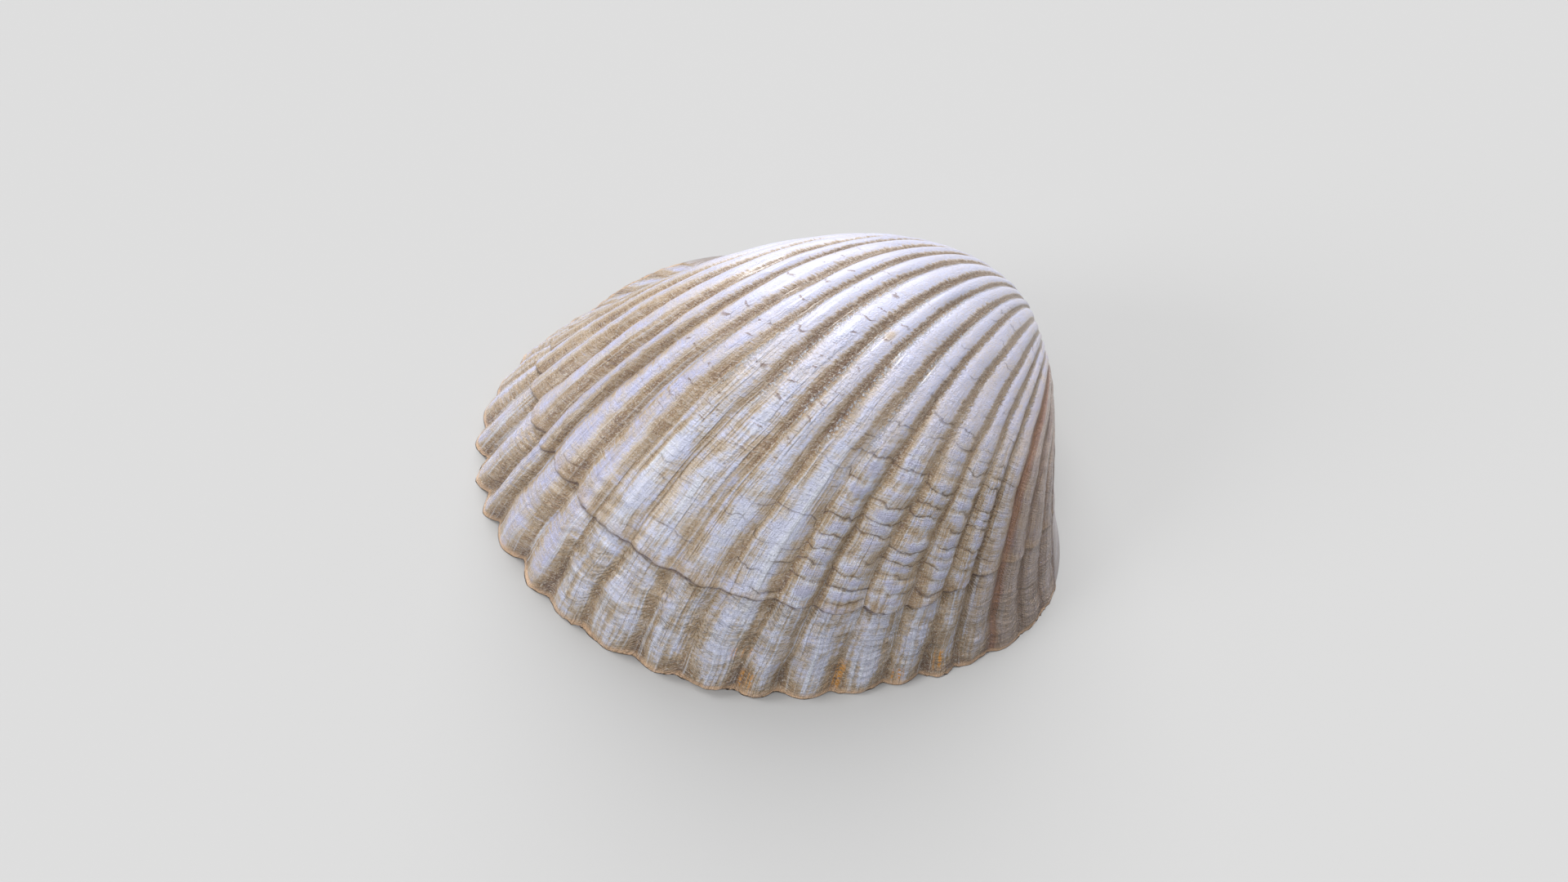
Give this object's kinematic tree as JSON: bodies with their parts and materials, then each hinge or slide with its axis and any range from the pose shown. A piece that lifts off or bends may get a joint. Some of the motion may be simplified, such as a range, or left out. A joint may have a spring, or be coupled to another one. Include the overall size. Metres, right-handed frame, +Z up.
{
  "type": "cockle shell",
  "caption": "One ribbed valve of a bivalve sea shell, domed and hollow, lying on its scalloped margin.",
  "frame": {"origin": "middle of the valve's box, on the plane of the margin that it lies on", "axes": "+X along the hinge line towards the front end, +Y towards the umbo and hinge, +Z up through the dome"},
  "size_m": [0.045, 0.04, 0.0174],
  "materials": {
    "shell": "satin"
  },
  "bodies": {
    "root": {"cockle_valve": "shell"}
  },
  "joints": []
}
